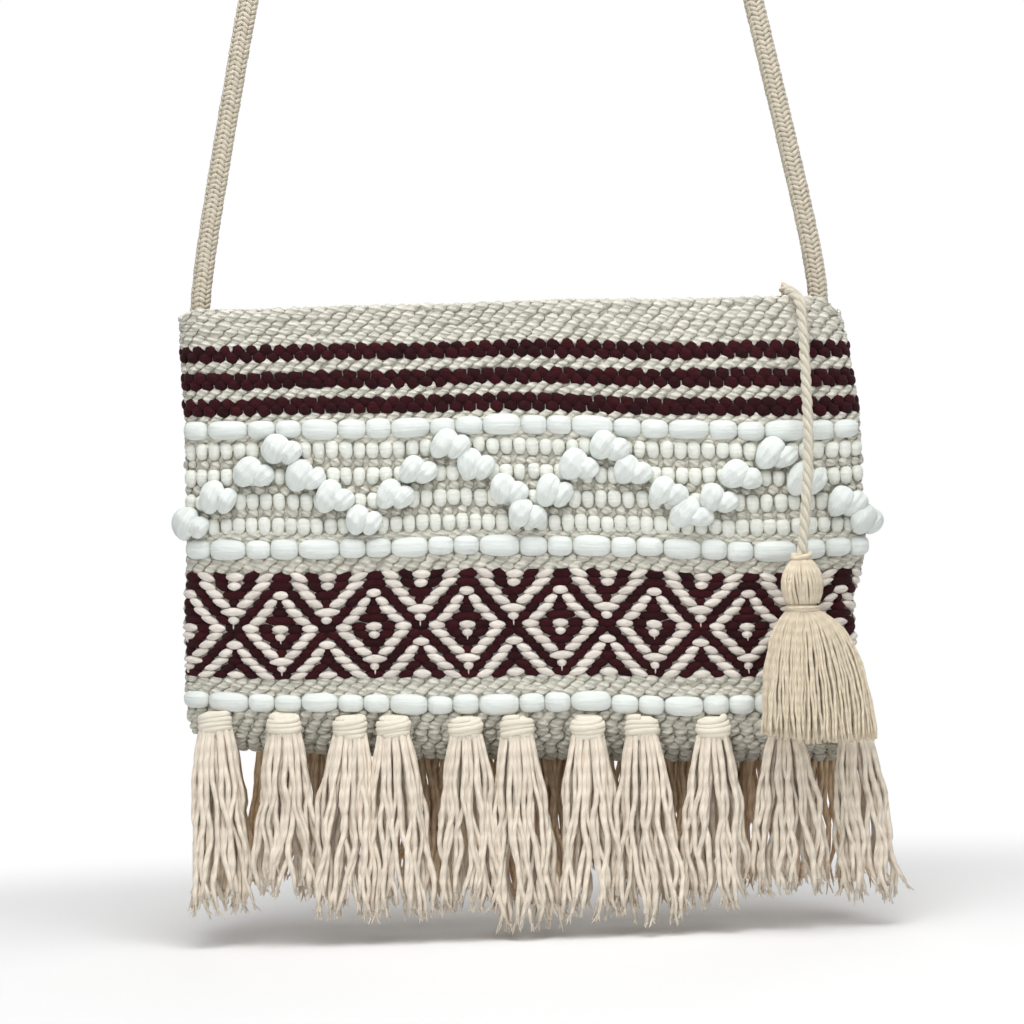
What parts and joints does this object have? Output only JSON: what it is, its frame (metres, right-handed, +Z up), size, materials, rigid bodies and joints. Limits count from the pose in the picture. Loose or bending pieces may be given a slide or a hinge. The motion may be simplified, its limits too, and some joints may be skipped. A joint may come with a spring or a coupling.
{
  "type": "handwoven fringed shoulder pouch",
  "caption": "Flat zipped cotton shoulder pouch in thick handwoven bands with pulled loops, fringe tassels and a rope strap.",
  "frame": {"origin": "where the strap's loop hangs, under the top of the rope", "axes": "+X along the rim towards the zip's closed end, -Y out of the patterned front, +Z up"},
  "size_m": [0.2808, 0.0694, 0.562],
  "materials": {
    "woven_shell": "natural handwoven cotton",
    "diamond_band": "maroon and natural twill floats",
    "lining": "plain cotton lining",
    "maroon_yarn": "dyed cotton yarn",
    "white_roving": "thick unspun cotton roving",
    "fringe_cotton": "loose cotton strands",
    "zip_tape": "woven zip tape",
    "zip_metal": "antique brass",
    "tassel_yarn": "beige cotton yarn",
    "strap_rope": "braided cotton rope"
  },
  "bodies": {
    "bag": {"woven_shell": "woven_shell", "diamond_band": "diamond_band", "lining": "lining", "maroon_stripe_1": "maroon_yarn", "roving_row_1": "white_roving", "maroon_stripe_2": "maroon_yarn", "roving_row_2": "white_roving", "maroon_stripe_3": "maroon_yarn", "roving_row_3": "white_roving", "loop_row_1": "white_roving", "loop_row_2": "white_roving", "loop_row_3": "white_roving", "loop_row_4": "white_roving", "fringe_front_01": "fringe_cotton", "fringe_wrap_01": "white_roving", "fringe_back_01": "fringe_cotton", "fringe_front_02": "fringe_cotton", "fringe_wrap_02": "white_roving", "fringe_back_02": "fringe_cotton", "fringe_front_03": "fringe_cotton", "fringe_wrap_03": "white_roving", "fringe_back_03": "fringe_cotton", "fringe_front_04": "fringe_cotton", "fringe_wrap_04": "white_roving", "fringe_back_04": "fringe_cotton", "fringe_front_05": "fringe_cotton", "fringe_wrap_05": "white_roving", "fringe_back_05": "fringe_cotton", "fringe_front_06": "fringe_cotton", "fringe_wrap_06": "white_roving", "fringe_back_06": "fringe_cotton", "fringe_front_07": "fringe_cotton", "fringe_wrap_07": "white_roving", "fringe_back_07": "fringe_cotton", "fringe_front_08": "fringe_cotton", "fringe_wrap_08": "white_roving", "fringe_back_08": "fringe_cotton", "fringe_front_09": "fringe_cotton", "fringe_wrap_09": "white_roving", "fringe_back_09": "fringe_cotton", "fringe_front_10": "fringe_cotton", "fringe_wrap_10": "white_roving", "fringe_back_10": "fringe_cotton", "fringe_front_11": "fringe_cotton", "fringe_wrap_11": "white_roving", "fringe_back_11": "fringe_cotton", "zip_tape_front": "zip_tape", "zip_tape_back": "zip_tape", "zip_teeth_front": "zip_metal", "zip_teeth_back": "zip_metal", "zip_end_stop": "zip_metal", "zip_start_stop": "zip_metal", "strap_rope": "strap_rope"},
    "slider": {"zip_slider": "zip_metal"},
    "pull": {"pull_ring": "zip_metal", "tassel_cord": "tassel_yarn", "zip_tassel": "tassel_yarn", "zip_tassel_wrap": "tassel_yarn"}
  },
  "joints": [
    {"name": "zip_slide", "type": "slide", "parent": "bag", "child": "slider", "axis": [1, 0, 0], "range_m": [-0.226, 0]},
    {"name": "pull_swing", "type": "hinge", "parent": "slider", "child": "pull", "pos_m": [0.1135, 0, -0.3022], "axis": [0, 1, 0], "range_deg": [-30, 30]}
  ]
}
